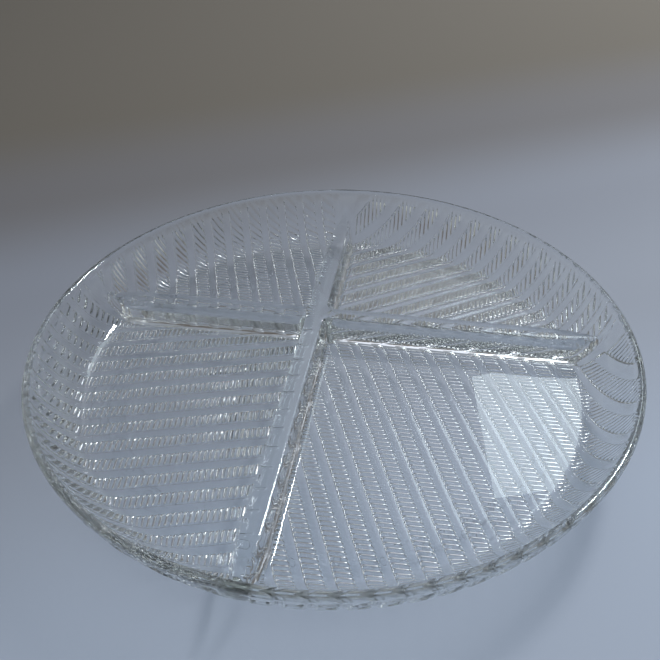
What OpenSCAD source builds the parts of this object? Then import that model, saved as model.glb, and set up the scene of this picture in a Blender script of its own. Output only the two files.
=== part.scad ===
// Glass lazy susan: a round four-compartment tray on a low, clear, ball-bearing swivel base.
// Units are millimetres. +Z is up and the feet stand on z = 0. The dividers run along X and Y
// and cross off the tray's centre, so the four compartments differ in size.

/* [Glass tray] */
// Outer diameter of the rim
tray_d = 320; // [260:1:380]
// Height of the rim above the inside floor
tray_depth = 28.4; // [24:0.2:40]
// Thickness of the glass floor
floor_t = 4.7; // [3.5:0.1:7]
// Thickness of the wall at the rim
rim_t = 4.4; // [3.4:0.1:6]
// Radius of the flat inside floor as a share of the rim radius
floor_share = 0.847; // [0.82:0.001:0.88]

/* [Dividers] */
// Height of a divider above the inside floor
divider_h = 14.6; // [10:0.2:22]
// Width of a divider where it meets the floor, at its middle
divider_w = 19; // [14:0.5:26]
// Width of the same divider at its outer ends
divider_tip_w = 12; // [8:0.5:16]
// Width across the rounded top
divider_top_w = 9; // [5:0.5:12]
// Sideways place of the divider that runs along Y, from the tray's centre
cross_x = -16; // [-40:0.5:40]
// Place of the divider that runs along X, from the tray's centre
cross_y = 37; // [0:0.5:50]

/* [Moulded bands] */
// Distance from one band to the next
band_pitch = 12.8; // [9:0.1:18]
// Width of the sunk stripe in each band
band_sunk_w = 5.6; // [2:0.1:8]
// Depth of the sunk stripe
band_depth = 0.6; // [0.3:0.1:1.2]
// Direction of the bands, in degrees from +X, in the right back compartment
band_angle_rb = 33; // [0:1:90]
// The same in the left back compartment
band_angle_lb = 109; // [60:1:150]
// The same in the left front compartment
band_angle_lf = 16; // [0:1:90]
// The same in the right front compartment
band_angle_rf = 113; // [60:1:150]

/* [Swivel base] */
// Height of the feet below the base plate
foot_h = 1; // [0.6:0.1:3]
// Thickness of the base plate and of the turntable plate
plate_t = 2.6; // [2.4:0.1:4]
// Diameter of the base plate
base_d = 256; // [240:1:262]
// How far the turntable plate's edge sits inside the edge of the tray's flat underside
plate_inset = 5.1; // [3:0.1:12]
// Number of feet under the base plate
foot_count = 6; // [3:1:8]
// Number of grip pads under the tray
pad_count = 8; // [3:1:12]

/* [Ball bearing] */
// Diameter of the circle that the balls run on
race_d = 238; // [200:1:244]
// Diameter of a ball
ball_d = 4; // [3.5:0.1:4.5]
// Number of balls
ball_count = 36; // [12:1:60]
// Width of a race ring
race_w = 9; // [8:0.5:12]

/* [Centre pivot] */
// Diameter of the pivot pin
pin_d = 8; // [6:0.5:10]
// Diameter of the pin's flat head
pin_head_d = 18; // [14:0.5:22]

/* [Hidden] */

eps = 0.01;
run_gap = 0.05;                 // running clearance on the pivot and in the cage
fit_gap = 0.02;                 // clearance of a piece seated in its own body
part_gap = 0.3;                 // gap between pieces that turn past each other
bez_n = 12;                     // segments along a curved wall

// Heights from the table up
seat = 0.6;                     // depth of the pockets for feet and pads
race_seat = 1.2;                // depth of the race rings' seats
race_t = 2;                     // thickness of a race ring
groove_gap = 0.1;               // clearance of a ball in its groove
groove_depth = 1;               // depth of the ball's bottom below a ring's face
base_z = foot_h;
base_top = base_z + plate_t;
race_z = base_top - race_seat;
race_top = race_z + race_t;
ball_z = race_top - groove_depth + ball_d / 2;
upper_race_z = ball_z + ball_d / 2 - groove_depth;
turn_z = upper_race_z + race_t - race_seat;
turn_top = turn_z + plate_t;
pad_t = 1.2;
pad_z = turn_top - seat;
pad_rest = 0.05;                // free height between the pads and the glass
under_z = pad_z + pad_t + pad_rest;
floor_z = under_z + floor_t;
rim_z = floor_z + tray_depth;

// Radii of the tray
tray_r = tray_d / 2;
rim_rr = rim_t / 2;
floor_r = tray_r * floor_share;
heel_r = floor_r + 1.5;
turn_r = heel_r - plate_inset;

// Bearing and pivot
race_r = race_d / 2;
race_in = race_r - race_w / 2;
race_out = race_r + race_w / 2;
cage_t = 1.2;
cage_in = race_in + 0.5;
cage_out = race_out - 0.5;
pin_r = pin_d / 2;
head_r = pin_head_d / 2;
head_t = 0.85;
head_seat = 1;
boss_r = 11;
bush_r = pin_r + 2;
flange_r = bush_r + 3;
flange_t = 0.8;
flange_z = turn_z - flange_t;
boss_top = flange_z - part_gap;
well_depth = 1.3;
well_z = turn_top - well_depth;
washer_t = 0.5;
washer_r = pin_r + 4.5;
well_r = washer_r + 1;
clip_z = well_z + washer_t + part_gap;
clip_t = 0.6;
clip_r = pin_r + 2.5;
pin_groove_r = pin_r - 0.8;
pin_top = under_z - part_gap;
foot_r = 6;
foot_circle = 112;
pad_r = 6;
pad_circle = 104;

// Colours
GLASS = [0.86, 0.91, 0.90, 0.45];
ACRYLIC = [0.90, 0.93, 0.94, 0.5];
CLEAR_TPU = [0.88, 0.90, 0.90, 0.7];
BALL_GLASS = [0.84, 0.92, 0.92, 0.7];

// Point of a cubic curve, and the run of points along it
function mix4(a, b, c, d, t) =
    a * pow(1 - t, 3) + b * 3 * t * pow(1 - t, 2) + c * 3 * t * t * (1 - t) + d * pow(t, 3);
function curve(a, b, c, d, n) = [for (i = [0 : n]) mix4(a, b, c, d, i / n)];
function arc(cx, cy, r, a0, a1, n) =
    [for (i = [0 : n]) [cx + r * cos(a0 + (a1 - a0) * i / n), cy + r * sin(a0 + (a1 - a0) * i / n)]];

// Outside of the wall, from the edge of the flat underside to just under the rim
outer_wall = curve([heel_r, under_z],
                   [heel_r + (tray_r - heel_r) * 0.35, under_z + tray_depth * 0.02],
                   [tray_r - 2.5, under_z + tray_depth * 0.6],
                   [tray_r, rim_z - tray_depth * 0.1], bez_n);
// Inside of the wall, from the floor to just under the rim
inner_wall = curve([floor_r - 2, floor_z],
                   [floor_r + 5, floor_z],
                   [tray_r - rim_t - 2.8, floor_z + tray_depth * 0.505],
                   [tray_r - rim_t, rim_z - rim_rr], bez_n);

module ring_of(count, radius) {
    for (i = [0 : count - 1])
        rotate([0, 0, 360 * i / count])
            translate([radius, 0, 0])
                children();
}

module tube(r_out, r_in, z, h, fn = 180) {
    translate([0, 0, z])
        difference() {
            cylinder(r = r_out, h = h, $fn = fn);
            translate([0, 0, -eps])
                cylinder(r = r_in, h = h + 2 * eps, $fn = fn);
        }
}

// Turned body of the tray: floor, flared wall and rounded rim
module tray_bowl() {
    rotate_extrude($fn = 240)
        polygon(concat(
            [[0, under_z]],
            outer_wall,
            arc(tray_r - rim_rr, rim_z - rim_rr, rim_rr, 0, 180, 10),
            [for (i = [bez_n - 1 : -1 : 0]) inner_wall[i]],
            [[0, floor_z]]
        ));
}

// Inside space of the bowl, a little proud of its inner face so that the dividers join the wall
module bowl_inside() {
    rotate_extrude($fn = 240)
        polygon(concat(
            [[0, floor_z - 1], [floor_r - 2, floor_z - 1]],
            [for (i = [1 : bez_n]) inner_wall[i] + [1, 0]],
            [[0, rim_z - rim_rr]]
        ));
}

// One divider right across the bowl at a distance from its centre: a leaf with sloping
// flanks and a round top, whose ends run into the wall
module divider(off) {
    half_w = divider_w / 2;
    tip_w = divider_tip_w / 2;
    top_r = divider_top_w / 2;
    reach = sqrt(pow(floor_r, 2) - pow(off, 2));
    leaf_r = (pow(reach, 2) + pow(half_w - tip_w, 2)) / (2 * (half_w - tip_w));
    draft = (half_w - top_r) / divider_h;
    intersection() {
        leaf_side(off + half_w - leaf_r, leaf_r, draft);
        leaf_side(off + leaf_r - half_w, leaf_r, draft);
        rotate([90, 0, 90])
            translate([off, 0, -tray_r])
                linear_extrude(height = tray_d)
                    union() {
                        translate([0, floor_z + divider_h - top_r])
                            circle(r = top_r, $fn = 48);
                        polygon([[-top_r, floor_z + divider_h - top_r],
                                 [-divider_w, floor_z - 1],
                                 [divider_w, floor_z - 1],
                                 [top_r, floor_z + divider_h - top_r]]);
                    }
        bowl_inside();
    }
}

// Cone whose flank is one side of the leaf
module leaf_side(y, leaf_r, draft) {
    translate([0, y, floor_z - 1])
        cylinder(r1 = leaf_r + draft, r2 = leaf_r - divider_h * draft, h = divider_h + 1, $fn = 360);
}

// Sunk stripes on the underside, under one compartment; sx and sy say which one
module compartment_bands(sx, sy, angle) {
    reach = heel_r - 3;
    lanes = ceil(tray_r / band_pitch);
    side = 2 * tray_r;
    edge = divider_top_w / 2;
    intersection() {
        translate([sx > 0 ? cross_x + edge : cross_x - edge - side,
                   sy > 0 ? cross_y + edge : cross_y - edge - side,
                   under_z - 1])
            cube([side, side, 1 + band_depth]);
        translate([0, 0, under_z - 1])
            cylinder(r = reach, h = 1 + band_depth, $fn = 180);
        translate([cross_x, cross_y, 0])
            rotate([0, 0, angle])
                for (i = [-2 * lanes : 2 * lanes])
                    translate([-side, (i + 0.5) * band_pitch - band_sunk_w / 2, under_z - 1])
                        cube([2 * side, band_sunk_w, 1 + band_depth]);
    }
}

module glass_tray() {
    color(GLASS)
        difference() {
            union() {
                tray_bowl();
                divider(cross_y);
                rotate([0, 0, 90])
                    divider(-cross_x);
            }
            compartment_bands(1, 1, band_angle_rb);
            compartment_bands(-1, 1, band_angle_lb);
            compartment_bands(-1, -1, band_angle_lf);
            compartment_bands(1, -1, band_angle_rf);
        }
}

module grip_pads() {
    color(CLEAR_TPU)
        rotate([0, 0, 180 / pad_count])
            ring_of(pad_count, pad_circle)
                translate([0, 0, pad_z])
                    cylinder(r = pad_r - fit_gap, h = pad_t, $fn = 48);
}

module turntable_plate() {
    color(ACRYLIC)
        difference() {
            translate([0, 0, turn_z])
                cylinder(r = turn_r, h = plate_t, $fn = 240);
            tube(race_out + fit_gap, race_in - fit_gap, turn_z - eps, race_seat + eps);
            translate([0, 0, turn_z - eps])
                cylinder(r = bush_r, h = plate_t + 2 * eps, $fn = 96);
            translate([0, 0, well_z])
                cylinder(r = well_r, h = well_depth + eps, $fn = 96);
            rotate([0, 0, 180 / pad_count])
                ring_of(pad_count, pad_circle)
                    translate([0, 0, pad_z])
                        cylinder(r = pad_r, h = seat + eps, $fn = 48);
        }
}

// Ring with a round groove that the balls run in
module race_ring(z) {
    difference() {
        tube(race_out, race_in, z, race_t);
        translate([0, 0, ball_z])
            rotate_extrude($fn = 240)
                translate([race_r, 0])
                    circle(r = ball_d / 2 + groove_gap, $fn = 48);
    }
}

module upper_race_ring() {
    color(ACRYLIC)
        race_ring(upper_race_z);
}

module lower_race_ring() {
    color(ACRYLIC)
        race_ring(race_z);
}

module pivot_bushing() {
    color(ACRYLIC)
        difference() {
            union() {
                translate([0, 0, flange_z])
                    cylinder(r = flange_r, h = flange_t, $fn = 96);
                translate([0, 0, flange_z])
                    cylinder(r = bush_r - fit_gap, h = flange_t + plate_t - well_depth, $fn = 96);
            }
            translate([0, 0, flange_z - eps])
                cylinder(r = pin_r + run_gap, h = plate_t + 2, $fn = 96);
        }
}

module thrust_washer() {
    color(ACRYLIC)
        tube(washer_r, pin_r + run_gap, well_z, washer_t, 96);
}

module bearing_balls() {
    color(BALL_GLASS)
        ring_of(ball_count, race_r)
            translate([0, 0, ball_z])
                sphere(d = ball_d, $fn = 32);
}

// Thin ring that keeps the balls apart
module ball_cage() {
    color(ACRYLIC)
        difference() {
            tube(cage_out, cage_in, ball_z - cage_t / 2, cage_t);
            ring_of(ball_count, race_r)
                translate([0, 0, ball_z - cage_t])
                    cylinder(r = ball_d / 2 + run_gap, h = 2 * cage_t, $fn = 48);
        }
}

module base_plate() {
    color(ACRYLIC)
        difference() {
            union() {
                translate([0, 0, base_z])
                    cylinder(d = base_d, h = plate_t, $fn = 240);
                translate([0, 0, base_z])
                    cylinder(r = boss_r, h = boss_top - base_z, $fn = 96);
            }
            tube(race_out + fit_gap, race_in - fit_gap, race_z, race_seat + eps);
            translate([0, 0, base_z - eps])
                cylinder(r = pin_r + fit_gap, h = boss_top - base_z + 2 * eps, $fn = 96);
            translate([0, 0, base_z - eps])
                cylinder(r = head_r + fit_gap, h = head_seat + eps, $fn = 96);
            ring_of(foot_count, foot_circle)
                translate([0, 0, base_z - eps])
                    cylinder(r = foot_r, h = seat + eps, $fn = 48);
        }
}

module pivot_pin() {
    color(ACRYLIC)
        difference() {
            union() {
                translate([0, 0, base_z + head_seat - head_t])
                    cylinder(r = head_r, h = head_t, $fn = 96);
                translate([0, 0, base_z + head_seat - head_t])
                    cylinder(r = pin_r, h = pin_top - base_z - head_seat + head_t, $fn = 96);
            }
            tube(pin_r + 1, pin_groove_r, clip_z - fit_gap, clip_t + 2 * fit_gap, 96);
        }
}

// Push-on clip with an open side, in the groove at the top of the pin
module retaining_clip() {
    color(ACRYLIC)
        difference() {
            tube(clip_r, pin_groove_r + fit_gap, clip_z, clip_t, 96);
            translate([0, -pin_groove_r * 0.75, clip_z - eps])
                cube([clip_r + 1, pin_groove_r * 1.5, clip_t + 2 * eps]);
        }
}

module rubber_feet() {
    color(CLEAR_TPU)
        ring_of(foot_count, foot_circle)
            cylinder(r = foot_r - fit_gap, h = foot_h + seat, $fn = 48);
}

glass_tray();
grip_pads();
turntable_plate();
upper_race_ring();
pivot_bushing();
thrust_washer();
bearing_balls();
ball_cage();
lower_race_ring();
base_plate();
pivot_pin();
retaining_clip();
rubber_feet();
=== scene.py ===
"""Looks of a divided pressed-glass lazy susan tray on a low clear swivel base.

The glass tray is rebuilt here as one closed mesh, in mm, with the fine ribs of its moulded
pattern. The pieces of the base stay as they come from the frame and only get materials. Then
come the table, the room and the two lamps.
"""

import math

import bmesh
import bpy
import numpy as np
from mathutils import Matrix, Quaternion, Vector


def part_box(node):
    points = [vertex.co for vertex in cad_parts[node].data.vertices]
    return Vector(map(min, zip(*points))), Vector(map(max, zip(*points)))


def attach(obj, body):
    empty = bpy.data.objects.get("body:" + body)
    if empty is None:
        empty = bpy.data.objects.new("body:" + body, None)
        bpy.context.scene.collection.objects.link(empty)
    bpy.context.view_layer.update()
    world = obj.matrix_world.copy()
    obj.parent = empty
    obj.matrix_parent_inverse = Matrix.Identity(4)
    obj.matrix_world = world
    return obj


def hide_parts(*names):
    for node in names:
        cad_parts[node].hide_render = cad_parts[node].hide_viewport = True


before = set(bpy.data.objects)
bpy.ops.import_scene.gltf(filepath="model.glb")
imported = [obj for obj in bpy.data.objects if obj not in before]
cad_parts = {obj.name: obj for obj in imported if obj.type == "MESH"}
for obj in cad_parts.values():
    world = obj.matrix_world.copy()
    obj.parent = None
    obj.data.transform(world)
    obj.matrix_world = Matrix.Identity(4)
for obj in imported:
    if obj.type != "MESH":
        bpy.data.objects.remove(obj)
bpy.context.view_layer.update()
scene = bpy.context.scene

MM = 0.001

# ---------------------------------------------------------------- driving sizes, in mm
# These repeat the sizes of the same names in the part's source. The rim and the underside come
# from the frame.
RIM_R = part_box("glass_tray")[1].x / MM
RIM_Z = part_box("glass_tray")[1].z / MM
UNDER_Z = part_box("glass_tray")[0].z / MM
TRAY_DEPTH = 28.4
FLOOR_Z = RIM_Z - TRAY_DEPTH
RIM_T = 4.4

# ---------------------------------------------------------------- camera
# The camera stands in front of the tray, a little to its right, and looks down past its middle.
LOOK_AZIMUTH = 100.206  # degrees from +X, of the way it looks
LOOK_DOWN = 38.390
ROLL = -0.985
AIM_X, AIM_Y = -8.583, 39.814  # where its axis meets the tray's floor
DISTANCE = 495.822
FOCAL = 45.818  # for a frame 36 mm wide


def stage_camera():
    """Adds the camera at the photograph's angle and makes it the scene's."""
    azimuth, down, roll = (math.radians(a) for a in (LOOK_AZIMUTH, LOOK_DOWN, ROLL))
    ahead = Vector(
        (
            math.cos(azimuth) * math.cos(down),
            math.sin(azimuth) * math.cos(down),
            -math.sin(down),
        )
    )
    level = ahead.cross(Vector((0, 0, 1))).normalized()
    right = level * math.cos(roll) + level.cross(ahead) * math.sin(roll)
    up = right.cross(ahead)
    stand = (Vector((AIM_X, AIM_Y, FLOOR_Z)) - ahead * DISTANCE) * MM
    data = bpy.data.cameras.new("camera")
    data.sensor_width = 36.0
    data.lens = FOCAL
    data.clip_start = 0.01
    data.clip_end = 60.0
    cam = bpy.data.objects.new("camera", data)
    scene.collection.objects.link(cam)
    turn = Matrix((right, up, -ahead)).transposed().to_4x4()
    cam.matrix_world = Matrix.Translation(stand) @ turn
    scene.camera = cam


stage_camera()


# ---------------------------------------------------------------- the pressed glass tray
CROSS_X, CROSS_Y = -16.0, 37.3
PITCH = 12.8  # from one band to the next
RIBBED = 7.8  # width of the ribbed part of a band
RIB_DEPTH = 0.92
STEP = 0.68  # height of the crisp edge of a band
STEP_W = 0.55  # and its width
SLOPE = 0.22  # how far the ribbed part sinks from one side to the other
HOLLOW = 0.16  # how much deeper the smooth part is in its middle
SEAM = 1.0  # width of the strip that joins two compartments under a ridge
HEEL_R = 137.0
FLOOR_R = 133.5
LIP = RIM_T / 2  # radius of the rounded rim
WALL_R = RIM_R - LIP
RIDGE_H = 14.6
RIDGE_REACH = 153.5  # the ridges' ends are this far from the axis
RIDGE_TAPER = 36.0  # length of each pointed end
RIDGE_PINCH = 5.2  # how much narrower each side is at the point
RIDGE_JOIN = 5.0  # size of the rounding where the ridges cross
# Each compartment: the side of the crossing in x and y, the bands' direction in degrees, 1 if the
# stepped edge of a band is its far edge across the band or 0 if it is its near edge, the lean of
# the ribs across the band, and the distance from one rib to the next along it.
COMPARTMENTS = (
    (1, 1, 33.0, 1, 0.62, 3.05),
    (-1, 1, 109.0, 1, 0.45, 2.95),
    (-1, -1, 16.0, 0, 0.17, 2.76),
    (1, -1, 113.0, 1, 0.40, 2.88),
)


def ease(x):
    """A smooth rise from 0 to 1 as x goes from 0 to 1."""
    x = np.clip(x, 0.0, 1.0)
    return x * x * (3.0 - 2.0 * x)


def cubic(points, t):
    """Points on a cubic curve of four control points, at t from 0 to 1."""
    a, b, c, d = (np.asarray(p, float) for p in points)
    t = np.asarray(t, float)[:, None]
    return a * (1 - t) ** 3 + 3 * b * (1 - t) ** 2 * t + 3 * c * (1 - t) * t * t + d * t**3


OUTER = (
    (HEEL_R, UNDER_Z),
    (HEEL_R + (RIM_R - HEEL_R) * 0.35, UNDER_Z + TRAY_DEPTH * 0.02),
    (RIM_R - 2.5, UNDER_Z + TRAY_DEPTH * 0.6),
    (RIM_R, RIM_Z - TRAY_DEPTH * 0.1),
)
INNER = (
    (FLOOR_R, FLOOR_Z),
    (FLOOR_R + 5.0, FLOOR_Z),
    (RIM_R - RIM_T - 2.8, FLOOR_Z + TRAY_DEPTH * 0.505),
    (RIM_R - RIM_T, RIM_Z - LIP),
)


def cut_depth(x, y, step_w=STEP_W):
    """How deep the moulded pattern is cut into the outside at a plan position, in mm."""
    out = np.zeros_like(x)
    for sx, sy, angle, far, lean, rib in COMPARTMENTS:
        dx, dy = x - CROSS_X, y - CROSS_Y
        mine = (dx * sx >= 0) & (dy * sy >= 0)
        dx, dy = dx[mine], dy[mine]
        a = math.radians(angle)
        u, v = dx * math.cos(a) + dy * math.sin(a), -dx * math.sin(a) + dy * math.cos(a)
        # w runs from 0 at the stepped edge of the ribbed part to PITCH at the next one.
        w = np.mod(RIBBED / 2 - v if far else v + RIBBED / 2, PITCH)
        # Each rib is a bar with a rounded crest and a sharp straight-sided valley on both sides.
        off = np.abs(2 * np.mod((u - lean * v) / rib, 1.0) - 1)
        valley = np.where(off < 0.45, off**2 / 0.9, off - 0.225) / 0.775
        near_seam = np.minimum(abs(dx), abs(dy))
        clear = ease((near_seam - 4.2) / 2.5)
        body = ease(w / 0.7) * ease((RIBBED - w) / 0.7) * clear
        ribbed = SLOPE * w / RIBBED + RIB_DEPTH * valley * body
        s = (w - RIBBED) / (PITCH - RIBBED)
        smooth = SLOPE + (STEP - SLOPE) * ease(s * 3) + HOLLOW * 4 * s * (1 - s)
        depth = np.where(w < RIBBED, ribbed, smooth)
        back = PITCH - w
        depth = np.where(back < step_w, smooth * ease(back / step_w), depth)
        out[mine] = depth * ease((near_seam - 0.7) / 1.5) * (0.22 + 0.78 * clear)
    return out


RIDGE_AT = [0, 1.4, 2.6, 3.6, 4.4, 5.0, 5.5, 5.9, 6.3, 6.8, 7.4, 8.2, 9.2, 10.4, 12.0]
RIDGE_UP = [1, 1, 0.999, 0.997, 0.99, 0.965, 0.89, 0.75, 0.56, 0.35, 0.18, 0.08, 0.03, 0.01, 0]


def ridge_height(x, y):
    """Height of the two dividing ridges above the floor, in mm."""

    def line(across, along, half_chord):
        # distance across from the ridge's middle line, pinched to a point at its ends
        left = half_chord - np.abs(along)
        return across + RIDGE_PINCH * np.clip(1 - left / RIDGE_TAPER, 0, None) ** 2

    half_x = math.sqrt(RIDGE_REACH**2 - CROSS_Y**2)
    half_y = math.sqrt(RIDGE_REACH**2 - CROSS_X**2)
    a = line(np.abs(y - CROSS_Y), x, half_x)
    b = line(np.abs(x - CROSS_X), y, half_y)
    k = RIDGE_JOIN
    d = np.minimum(a, b) - (np.maximum(k - np.abs(a - b), 0) / k) ** 2 * k / 4
    d = np.maximum(d, 0)
    # The section across a ridge: a crowned top, a rounded shoulder, a steep flank and a fillet.
    return RIDGE_H * np.interp(d, RIDGE_AT, RIDGE_UP)


def clip(points, tris, field, onto, snap):
    """The part of a plan mesh where field is below 0.

    Points nearer the line than snap are moved onto it first.
    """
    g = field(points)
    close = np.abs(g) < snap
    points = points.copy()
    points[close] = onto(points[close])
    g[close] = 0.0
    inside = g <= 0
    count = inside[tris].sum(1)
    on_line = (g == 0)[tris].sum(1)
    keep = (count == 3) & (on_line < 3)
    out, new, made = [tris[keep]], [], {}

    def crossing(i, j):
        key = (min(i, j), max(i, j))
        if key not in made:
            p, q = points[key[0]], points[key[1]]
            t = g[key[0]] / (g[key[0]] - g[key[1]])
            made[key] = len(points) + len(new)
            new.append(onto((p + (q - p) * t)[None])[0])
        return made[key]

    cut = []
    for tri in tris[(count > 0) & (count < 3)]:
        poly = []
        for i, j in zip(tri, np.roll(tri, -1)):
            if inside[i]:
                poly.append(i)
            if inside[i] != inside[j] and g[i] != 0 and g[j] != 0:
                poly.append(crossing(i, j))
        for k in range(1, len(poly) - 1):
            cut.append((poly[0], poly[k], poly[k + 1]))
    if cut:
        out.append(np.array(cut, int))
    tris = np.concatenate(out)
    if new:
        points = np.concatenate([points, np.array(new)])
    used = np.unique(tris)
    where = np.full(len(points), -1)
    where[used] = np.arange(len(used))
    return points[used], where[tris]


def clip_disc(points, tris, radius, snap):
    def onto(p):
        return p * (radius / np.maximum(np.hypot(p[:, 0], p[:, 1]), 1e-9))[:, None]

    return clip(points, tris, lambda p: np.hypot(p[:, 0], p[:, 1]) - radius, onto, snap)


def clip_axis(points, tris, axis, side, at, snap):
    """Keeps the part where side * (coordinate - at) is above 0."""

    def onto(p):
        p = p.copy()
        p[:, axis] = at
        return p

    return clip(points, tris, lambda p: -side * (p[:, axis] - at), onto, snap)


def lattice(rows, cols):
    """Triangles of a rows by cols grid of points."""
    i, j = np.meshgrid(np.arange(rows - 1), np.arange(cols - 1), indexing="ij")
    a = (i * cols + j).ravel()
    b, c, d = a + 1, a + cols + 1, a + cols
    return np.concatenate([np.stack([a, b, c], 1), np.stack([a, c, d], 1)])


def zip_rows(a, b, sa, sb):
    """Triangles between two rows of points that run the same way, by their positions sa and sb."""
    tris, i, j = [], 0, 0
    while i < len(a) - 1 or j < len(b) - 1:
        if j == len(b) - 1 or (i < len(a) - 1 and sa[i + 1] <= sb[j + 1]):
            tris.append((a[i], a[i + 1], b[j]))
            i += 1
        else:
            tris.append((a[i], b[j + 1], b[j]))
            j += 1
    return np.array(tris, int)


OUT_R = 158.4  # the pattern's lattice ends here, in plan
IN_R = 151.8  # and the inside's lattice here
SNAP = 0.12  # points of the pattern's lattice nearer a cut than this are moved onto it
IN_SNAP = 0.15  # the same for the inside's lattice
IN_GRID = 1.9  # from one line of the inside's lattice to the next, away from the ridges
COLUMNS = 1200  # points round the rim
CURVE_POINTS = 1500  # points that stand for a wall's curve
# The lattice's lines along a band, from its stepped edge, and across it, as parts of a rib.
BAND_LINES = (0.0, 0.35, 0.7, 2.2, 3.9, 5.6, 7.1, 7.45, 7.8, 9.3, 10.8, 12.25, 12.55)
RIB_LINES = (0.0, 0.14, 0.275, 0.5, 0.725, 0.86)
BANDS = 26  # more bands and ribs each way than the tray is wide, to be cut back
RIBS = 150


def compartment_mesh(sx, sy, angle, far, lean, rib):
    """A plan mesh of one compartment's underside, with its lines along the ribs and the bands."""
    a = math.radians(angle)
    rows = []
    for k in range(-BANDS, BANDS + 1):
        w = k * PITCH + np.array(BAND_LINES)
        rows.append((w - RIBBED / 2) if not far else (RIBBED / 2 - w))
    v = np.sort(np.concatenate(rows))
    p = (np.arange(-RIBS, RIBS + 1)[:, None] + np.array(RIB_LINES)).ravel() * rib
    vv, pp = np.meshgrid(v, p, indexing="ij")
    uu = pp + lean * vv
    x = CROSS_X + uu * math.cos(a) - vv * math.sin(a)
    y = CROSS_Y + uu * math.sin(a) + vv * math.cos(a)
    points = np.stack([x.ravel(), y.ravel()], 1)
    tris = lattice(len(v), len(p))
    ok = (
        (np.hypot(points[:, 0], points[:, 1]) < OUT_R + 3)
        & ((points[:, 0] - CROSS_X) * sx > -3)
        & ((points[:, 1] - CROSS_Y) * sy > -3)
    )
    tris = tris[ok[tris].all(1)]
    used = np.unique(tris)
    where = np.full(len(points), -1)
    where[used] = np.arange(len(used))
    points, tris = points[used], where[tris]
    points, tris = clip_axis(points, tris, 0, sx, CROSS_X + sx * SEAM / 2, SNAP)
    points, tris = clip_axis(points, tris, 1, sy, CROSS_Y + sy * SEAM / 2, SNAP)
    return clip_disc(points, tris, OUT_R, SNAP)


class Solid:
    """Points and triangles collected from several patches."""

    def __init__(self):
        self.points, self.tris, self.count = [], [], 0

    def add(self, points, tris=None):
        ids = np.arange(len(points)) + self.count
        self.points.append(points)
        self.count += len(points)
        if tris is not None and len(tris):
            self.tris.append(np.asarray(tris) + ids[0])
        return ids

    def join(self, tris):
        self.tris.append(np.asarray(tris))

    def ring_rows(self, theta, profile, shift=None):
        """Rows of points round the axis, one for each (radius, height), with faces between."""
        n, rows = len(theta), len(profile)
        c, s = np.cos(theta), np.sin(theta)
        r = np.repeat(profile[:, 0], n)
        z = np.repeat(profile[:, 1], n)
        x, y = r * np.tile(c, rows), r * np.tile(s, rows)
        if shift is not None:
            x, y, z = shift(x, y, z, n)
        ids = self.add(np.stack([x, y, z], 1)).reshape(rows, n)
        around = np.concatenate([ids, ids[:, :1]], 1)
        a, b = around[:-1, :-1].ravel(), around[:-1, 1:].ravel()
        c_, d = around[1:, 1:].ravel(), around[1:, :-1].ravel()
        self.join(np.concatenate([np.stack([a, b, c_], 1), np.stack([a, c_, d], 1)]))
        return ids

    def stitch(self, a, theta_a, b, theta_b):
        """Joins two closed loops given in order of angle."""
        if abs(theta_a[0] - theta_b[0]) > math.pi:
            raise ValueError("loops start apart")
        self.join(
            zip_rows(
                np.append(a, a[0]),
                np.append(b, b[0]),
                np.append(theta_a, theta_a[0] + 2 * math.pi),
                np.append(theta_b, theta_b[0] + 2 * math.pi),
            )
        )

    def mesh(self, name):
        me = bpy.data.meshes.new(name)
        points = np.concatenate(self.points) * MM
        tris = np.concatenate(self.tris)
        me.from_pydata(points.tolist(), [], tris.tolist())
        bm = bmesh.new()
        bm.from_mesh(me)
        bmesh.ops.dissolve_degenerate(bm, dist=2e-6, edges=bm.edges)
        bmesh.ops.recalc_face_normals(bm, faces=bm.faces)
        bm.to_mesh(me)
        bm.free()
        me.shade_smooth()
        me.set_sharp_from_angle(angle=math.radians(26))
        return me


def loop_of(points, ids, radius):
    """The points of a plan mesh on a circle, in order of angle."""
    on = np.abs(np.hypot(points[:, 0], points[:, 1]) - radius) < 1e-6
    theta = np.arctan2(points[on, 1], points[on, 0])
    order = np.argsort(theta)
    return ids[on][order], theta[order]


def inside_z(x, y):
    """Height of the inside at a plan position: floor and wall, the ridges run into them."""
    fine = cubic(INNER, np.linspace(0, 1, CURVE_POINTS))
    wall = np.interp(np.hypot(x, y), fine[:, 0], fine[:, 1]) - FLOOR_Z
    ridge = ridge_height(x, y)
    top = np.maximum(np.maximum(wall, ridge), 1e-6)
    return FLOOR_Z + top * ((wall / top) ** 7 + (ridge / top) ** 7) ** (1 / 7)


def outside(x, y):
    """Height and inward direction (in plan and up) of the plain outside at a plan position."""
    fine = cubic(OUTER, np.linspace(0, 1, CURVE_POINTS))
    way = np.gradient(fine, axis=0)
    way /= np.hypot(*way.T)[:, None]
    r = np.hypot(x, y)
    z = np.interp(r, fine[:, 0], fine[:, 1])
    bend = ease((r - (HEEL_R - 1.0)) / 2.0)
    back = np.interp(r, fine[:, 0], way[:, 1]) * bend
    return z, back, np.sqrt(1 - back**2)


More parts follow.
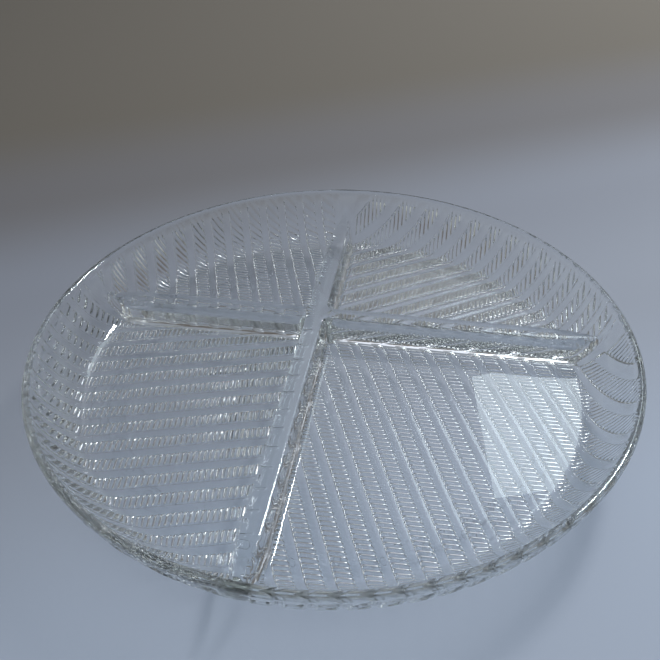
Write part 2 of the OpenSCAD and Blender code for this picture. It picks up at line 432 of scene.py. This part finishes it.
def build_tray():
    """The closed mesh of the tray: patterned outside, rim, and smooth inside with its ridges."""
    solid = Solid()
    theta = -math.pi + (np.arange(COLUMNS) + 0.5) * 2 * math.pi / COLUMNS

    # The outside, one patch for each compartment, over the floor and most of the wall.
    patches, all_points, all_ids = {}, [], []
    for sx, sy, *pattern in COMPARTMENTS:
        points, tris = compartment_mesh(sx, sy, *pattern)
        x, y = points.T
        z, back, lift = outside(x, y)
        depth = cut_depth(x, y)
        shrink = 1 - depth * back / np.maximum(np.hypot(x, y), 1.0)
        ids = solid.add(np.column_stack([x * shrink, y * shrink, z + depth * lift]), tris)
        patches[sx, sy] = (points, ids)
        all_points.append(points)
        all_ids.append(ids)

    def chain(key, axis, at):
        """A compartment's points on the straight edge beside a seam, in order."""
        points, ids = patches[key]
        on = np.abs(points[:, axis] - at) < 1e-2
        run = points[on, 1 - axis]
        order = np.argsort(run)
        return ids[on][order], run[order]

    for sy in (1, -1):
        a, sa = chain((-1, sy), 0, CROSS_X - SEAM / 2)
        b, sb = chain((1, sy), 0, CROSS_X + SEAM / 2)
        solid.join(zip_rows(a, b, sa, sb))
    for sx in (1, -1):
        a, sa = chain((sx, -1), 1, CROSS_Y - SEAM / 2)
        b, sb = chain((sx, 1), 1, CROSS_Y + SEAM / 2)
        solid.join(zip_rows(a, b, sa, sb))
    corner = []
    for key in ((1, 1), (-1, 1), (-1, -1), (1, -1)):
        points, ids = patches[key]
        aim = np.array([CROSS_X + key[0] * SEAM / 2, CROSS_Y + key[1] * SEAM / 2])
        corner.append(ids[np.argmin(np.hypot(*(points - aim).T))])
    solid.join(np.array([[corner[0], corner[1], corner[2]], [corner[0], corner[2], corner[3]]]))

    # The top of the outer wall, where the pattern fades out, and the rim.
    wall = cubic(OUTER, np.linspace(0, 1, CURVE_POINTS))
    start = np.searchsorted(wall[:, 0], OUT_R + 0.25)
    wall = wall[start:]
    pick = np.linspace(0, len(wall) - 1, 9).astype(int)
    wall = wall[pick]
    tangent = np.gradient(wall, axis=0)
    tangent /= np.hypot(*tangent.T)[:, None]
    lip_at = np.linspace(0, math.pi, 11)
    lip = np.stack(
        [WALL_R + LIP * np.cos(lip_at), RIM_Z - LIP + LIP * np.sin(lip_at)], 1
    )
    profile = np.concatenate([wall, lip])
    strength = np.zeros(len(profile))
    strength[: len(wall)] = 1 - ease(np.linspace(0.1, 1, len(wall)))
    inward = np.zeros_like(profile)
    inward[: len(wall)] = np.stack([-tangent[:, 1], tangent[:, 0]], 1)

    def shift(x, y, z, n):
        """Cuts the pattern into the rows of the upper wall, less and less towards the rim."""
        depth = cut_depth(x, y, 0.65) * np.repeat(strength, n)
        r = np.hypot(x, y)
        move = depth * np.repeat(inward[:, 0], n)
        return x * (1 + move / r), y * (1 + move / r), z + depth * np.repeat(inward[:, 1], n)

    outer = solid.ring_rows(theta, profile, shift)
    loop, loop_theta = loop_of(np.concatenate(all_points), np.concatenate(all_ids), OUT_R)
    solid.stitch(loop, loop_theta, outer[0], theta)

    # The smooth inside: the floor, the ridges and most of the wall, then the top of the wall.
    def lines(centre):
        """Grid lines, dense across the ridge at centre and evenly spaced elsewhere."""
        near = np.array(RIDGE_AT)
        near = np.concatenate([-near[:0:-1], near])
        far = np.arange(-152, 153, IN_GRID)
        far = far[np.abs(far - centre) > RIDGE_AT[-1] + 1.0]
        return np.sort(np.concatenate([near + centre, far]))

    gx, gy = lines(CROSS_X), lines(CROSS_Y)
    xx, yy = np.meshgrid(gx, gy)
    points = np.stack([xx.ravel(), yy.ravel()], 1)
    points, tris = clip_disc(points, lattice(len(gy), len(gx)), IN_R, IN_SNAP)
    ids = solid.add(np.column_stack([points, inside_z(points[:, 0], points[:, 1])]), tris)
    loop, loop_theta = loop_of(points, ids, IN_R)

    fine = cubic(INNER, np.linspace(0, 1, CURVE_POINTS))
    inner = fine[np.searchsorted(fine[:, 0], IN_R) :]
    inner = inner[np.linspace(0, len(inner) - 1, 8).astype(int)[1:]]
    inside = solid.ring_rows(loop_theta, inner)
    around = np.append(np.arange(len(loop)), 0)
    a, b = loop[around], inside[0][around]
    solid.join(
        np.concatenate(
            [
                np.stack([a[:-1], a[1:], b[1:]], 1),
                np.stack([a[:-1], b[1:], b[:-1]], 1),
            ]
        )
    )
    solid.stitch(inside[-1], loop_theta, outer[-1], theta)
    return solid.mesh("pressed_glass_tray")


tray_mesh = build_tray()
tray = bpy.data.objects.new("pressed_glass_tray", tray_mesh)
scene.collection.objects.link(tray)


# ---------------------------------------------------------------- materials
def new_material(name):
    """An empty material, its node tree and its output node."""
    m = bpy.data.materials.new(name)
    m.use_nodes = True
    tree = m.node_tree
    tree.nodes.clear()
    out = tree.nodes.new("ShaderNodeOutputMaterial")
    return m, tree, out


GLASS_IOR = 1.5
EDGE_POWER = 2.4  # how late the shade of the edges sets in as the glass turns edge-on


def glass_material(name, tint, shade, edge, absorb, density):
    """Clear glass that lets lamps through, a little less where it is seen edge-on."""
    m, t, out = new_material(name)
    glass = t.nodes.new("ShaderNodeBsdfGlass")
    glass.inputs["Color"].default_value = (*tint, 1)
    glass.inputs["Roughness"].default_value = 0.0
    glass.inputs["IOR"].default_value = GLASS_IOR
    clear = t.nodes.new("ShaderNodeBsdfTransparent")
    facing = t.nodes.new("ShaderNodeLayerWeight")
    facing.inputs["Blend"].default_value = 0.5
    mix_c = t.nodes.new("ShaderNodeMix")
    mix_c.data_type = "RGBA"
    mix_c.inputs["A"].default_value = (*shade, 1)
    mix_c.inputs["B"].default_value = (*edge, 1)
    steep = t.nodes.new("ShaderNodeMath")
    steep.operation = "POWER"
    steep.inputs[1].default_value = EDGE_POWER
    t.links.new(facing.outputs["Facing"], steep.inputs[0])
    t.links.new(steep.outputs[0], mix_c.inputs["Factor"])
    t.links.new(mix_c.outputs["Result"], clear.inputs["Color"])
    path = t.nodes.new("ShaderNodeLightPath")
    either = t.nodes.new("ShaderNodeMath")
    either.operation = "MAXIMUM"
    t.links.new(path.outputs["Is Shadow Ray"], either.inputs[0])
    t.links.new(path.outputs["Is Diffuse Ray"], either.inputs[1])
    mix = t.nodes.new("ShaderNodeMixShader")
    t.links.new(either.outputs[0], mix.inputs[0])
    t.links.new(glass.outputs[0], mix.inputs[1])
    t.links.new(clear.outputs[0], mix.inputs[2])
    t.links.new(mix.outputs[0], out.inputs["Surface"])
    volume = t.nodes.new("ShaderNodeVolumeAbsorption")
    volume.inputs["Color"].default_value = (*absorb, 1)
    volume.inputs["Density"].default_value = density
    t.links.new(volume.outputs[0], out.inputs["Volume"])
    return m


def film_material(name, tint, gloss):
    """Thin clear plastic that only tints and shines a little."""
    m, t, out = new_material(name)
    clear = t.nodes.new("ShaderNodeBsdfTransparent")
    clear.inputs["Color"].default_value = (*tint, 1)
    shine = t.nodes.new("ShaderNodeBsdfGlossy")
    shine.inputs["Roughness"].default_value = 0.12
    weight = t.nodes.new("ShaderNodeFresnel")
    weight.inputs["IOR"].default_value = gloss
    mix = t.nodes.new("ShaderNodeMixShader")
    t.links.new(weight.outputs[0], mix.inputs[0])
    t.links.new(clear.outputs[0], mix.inputs[1])
    t.links.new(shine.outputs[0], mix.inputs[2])
    t.links.new(mix.outputs[0], out.inputs["Surface"])
    return m


pressed_glass = glass_material(
    "pressed_glass",
    tint=(0.996, 0.999, 0.998),
    shade=(0.985, 0.988, 0.99),
    edge=(0.35, 0.38, 0.40),
    absorb=(0.72, 0.88, 0.82),
    density=2.2,
)
tray.data.materials.append(pressed_glass)
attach(tray, "tray")
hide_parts("glass_tray")

# The base is drawn far fainter than real plastic and glass, so that it hardly shows through the
# tray.
clear_plastic = film_material("clear_plastic", tint=(0.996, 0.997, 0.998), gloss=1.04)
clear_rubber = film_material("clear_rubber", tint=(0.996, 0.997, 0.998), gloss=1.03)
ball_glass = film_material("ball_glass", tint=(0.992, 0.995, 0.995), gloss=1.08)
LOOKS = {
    "grip_pads": clear_rubber,
    "rubber_feet": clear_rubber,
    "bearing_balls": ball_glass,
}
for name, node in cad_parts.items():
    if name == "glass_tray":
        continue
    look = LOOKS.get(name, clear_plastic)
    if not node.material_slots:
        node.data.materials.append(look)
    for s in node.material_slots:
        s.material = look


# ---------------------------------------------------------------- table, world and lights
TABLE_DROP = 0.00005  # the table lies this far under the feet, in m, so that faces don't meet
TABLE_SLANT = -0.53  # the tones run along y plus this much of x
TABLE_NEAR, TABLE_FAR = -0.2, 0.6  # where they start and end, in m
# Places from near (0) to far (1), and the colour there.
TABLE_TONES = (
    (0.07, (0.47, 0.53, 0.635)),
    (0.30, (0.37, 0.40, 0.465)),
    (0.48, (0.315, 0.335, 0.39)),
    (0.66, (0.215, 0.208, 0.215)),
    (0.86, (0.195, 0.175, 0.148)),
)


def stage_table():
    """The table top, pale at the front and darker and warmer at the back, with painted light that
    makes it paler to the right and painted shade that makes it darker to the left.
    """
    bm = bmesh.new()
    bmesh.ops.create_grid(bm, x_segments=40, y_segments=40, size=3.0)
    me = bpy.data.meshes.new("table")
    bm.to_mesh(me)
    bm.free()
    obj = bpy.data.objects.new("table", me)
    scene.collection.objects.link(obj)
    m, t, out = new_material("table_top")
    base = t.nodes.new("ShaderNodeBsdfPrincipled")
    base.inputs["Roughness"].default_value = 0.75
    base.inputs["Specular IOR Level"].default_value = 0.2
    where = t.nodes.new("ShaderNodeTexCoord")
    split = t.nodes.new("ShaderNodeSeparateXYZ")
    t.links.new(where.outputs["Object"], split.inputs[0])
    slant = t.nodes.new("ShaderNodeMath")
    slant.operation = "MULTIPLY_ADD"
    slant.inputs[1].default_value = TABLE_SLANT
    t.links.new(split.outputs["X"], slant.inputs[0])
    t.links.new(split.outputs["Y"], slant.inputs[2])
    ramp = t.nodes.new("ShaderNodeMapRange")
    ramp.inputs["From Min"].default_value = TABLE_NEAR
    ramp.inputs["From Max"].default_value = TABLE_FAR
    t.links.new(slant.outputs[0], ramp.inputs["Value"])
    mix = t.nodes.new("ShaderNodeValToRGB")
    mix.color_ramp.interpolation = "EASE"
    while len(mix.color_ramp.elements) < len(TABLE_TONES):
        mix.color_ramp.elements.new(0.5)
    # The places come first, because moving an element can change the order.
    for element, (at, _) in zip(mix.color_ramp.elements, TABLE_TONES):
        element.position = at
    for element, (_, colour) in zip(mix.color_ramp.elements, TABLE_TONES):
        element.color = (*colour, 1)
    t.links.new(ramp.outputs["Result"], mix.inputs["Fac"])
    # Painted light and shade: the colour is scaled up towards the right, where the light falls,
    # and down towards the left, which stands in painted shade.
    across = t.nodes.new("ShaderNodeMapRange")
    across.inputs["From Min"].default_value = -0.6
    across.inputs["From Max"].default_value = 0.4
    across.inputs["To Min"].default_value = 0.74
    across.inputs["To Max"].default_value = 1.12
    t.links.new(split.outputs["X"], across.inputs["Value"])
    scale = t.nodes.new("ShaderNodeVectorMath")
    scale.operation = "SCALE"
    t.links.new(mix.outputs["Color"], scale.inputs[0])
    t.links.new(across.outputs["Result"], scale.inputs["Scale"])
    t.links.new(scale.outputs[0], base.inputs["Base Color"])
    t.links.new(base.outputs[0], out.inputs["Surface"])
    me.materials.append(m)
    obj.location.z = -TABLE_DROP
    return obj


stage_table()

def pale_side(wt, at, height, facing, edge, middle, below, colour, under):
    """Adds a pale soft-edged part to the room, round a direction and lower than a height."""
    dot = wt.nodes.new("ShaderNodeVectorMath")
    dot.operation = "DOT_PRODUCT"
    dot.inputs[1].default_value = facing
    near = wt.nodes.new("ShaderNodeMapRange")
    near.interpolation_type = "SMOOTHSTEP"
    near.inputs["From Min"].default_value = edge
    near.inputs["From Max"].default_value = middle
    low = wt.nodes.new("ShaderNodeMapRange")
    low.interpolation_type = "SMOOTHSTEP"
    low.inputs["From Min"].default_value = below[0]
    low.inputs["From Max"].default_value = below[1]
    low.inputs["To Min"].default_value = 1.0
    low.inputs["To Max"].default_value = 0.0
    both = wt.nodes.new("ShaderNodeMath")
    both.operation = "MULTIPLY"
    tint = wt.nodes.new("ShaderNodeVectorMath")
    tint.operation = "SCALE"
    tint.inputs[0].default_value = colour
    total = wt.nodes.new("ShaderNodeVectorMath")
    wt.links.new(at, dot.inputs[0])
    wt.links.new(dot.outputs["Value"], near.inputs["Value"])
    wt.links.new(height, low.inputs["Value"])
    wt.links.new(near.outputs["Result"], both.inputs[0])
    wt.links.new(low.outputs["Result"], both.inputs[1])
    wt.links.new(both.outputs[0], tint.inputs["Scale"])
    wt.links.new(under, total.inputs[0])
    wt.links.new(tint.outputs[0], total.inputs[1])
    return total.outputs[0]


def stage_room():
    """A dim room, brighter overhead, along the horizon and round a pale part above the back."""
    world = bpy.data.worlds.new("room")
    scene.world = world
    world.use_nodes = True
    wt = world.node_tree
    wt.nodes.clear()
    out = wt.nodes.new("ShaderNodeOutputWorld")
    background = wt.nodes.new("ShaderNodeBackground")
    background.inputs["Strength"].default_value = 1.0
    where = wt.nodes.new("ShaderNodeTexCoord")
    split = wt.nodes.new("ShaderNodeSeparateXYZ")
    high = wt.nodes.new("ShaderNodeMapRange")
    high.interpolation_type = "SMOOTHSTEP"
    high.inputs["From Min"].default_value = math.sin(math.radians(35))
    high.inputs["From Max"].default_value = math.sin(math.radians(47))
    mix = wt.nodes.new("ShaderNodeMix")
    mix.data_type = "RGBA"
    mix.inputs["A"].default_value = (0.115, 0.102, 0.094, 1)
    mix.inputs["B"].default_value = (0.27, 0.30, 0.345, 1)
    at, height = where.outputs["Generated"], split.outputs["Z"]
    wt.links.new(at, split.inputs[0])
    wt.links.new(height, high.inputs["Value"])
    wt.links.new(high.outputs["Result"], mix.inputs["Factor"])
    room = pale_side(
        wt,
        at,
        height,
        facing=(0.013, 0.735, 0.678),
        edge=0.974,
        middle=0.995,
        below=(0.9, 1.0),
        colour=(0.72, 0.75, 0.84),
        under=mix.outputs["Result"],
    )
    # Both limits are below any dot product of directions, so this part lies all round.
    room = pale_side(
        wt,
        at,
        height,
        facing=(0.0, -1.0, 0.0),
        edge=-3.0,
        middle=-2.0,
        below=(0.12, 0.40),
        colour=(0.30, 0.345, 0.345),
        under=room,
    )
    wt.links.new(room, background.inputs["Color"])
    wt.links.new(background.outputs[0], out.inputs["Surface"])


stage_room()


def area_light(name, aim, azimuth, elevation, distance, width, height, radiance, colour, roll=0.0):
    """A rectangular lamp seen from aim at an azimuth from +X and an elevation, facing it."""
    data = bpy.data.lights.new(name, "AREA")
    data.shape = "RECTANGLE"
    data.size, data.size_y = width, height
    data.energy = radiance * math.pi * width * height
    data.color = colour
    obj = bpy.data.objects.new(name, data)
    scene.collection.objects.link(obj)
    a, e = math.radians(azimuth), math.radians(elevation)
    way = Vector((math.cos(a) * math.cos(e), math.sin(a) * math.cos(e), math.sin(e)))
    obj.location = Vector(aim) + way * distance
    obj.rotation_mode = "QUATERNION"
    obj.rotation_quaternion = way.to_track_quat("Z", "Y") @ Quaternion((0, 0, 1), roll)
    return obj


area_light(
    "window",
    aim=(0.10, -0.02, 0.015),
    azimuth=76.6,
    elevation=42.3,
    distance=4.0,
    width=1.046,
    height=0.637,
    radiance=3.4,
    colour=(0.84, 0.97, 1.0),
    roll=math.radians(25),
)
area_light(
    "key_light",
    aim=(0, 0, 0.015),
    azimuth=60.0,
    elevation=48.0,
    distance=3.2,
    width=0.5,
    height=0.5,
    radiance=78.0,
    colour=(0.95, 0.98, 1.0),
)

scene.view_settings.view_transform = "Standard"
scene.view_settings.look = "None"
scene.cycles.max_bounces = 20
scene.cycles.transmission_bounces = 20
scene.cycles.glossy_bounces = 8
scene.cycles.diffuse_bounces = 3
scene.cycles.transparent_max_bounces = 40
scene.cycles.use_denoising = True
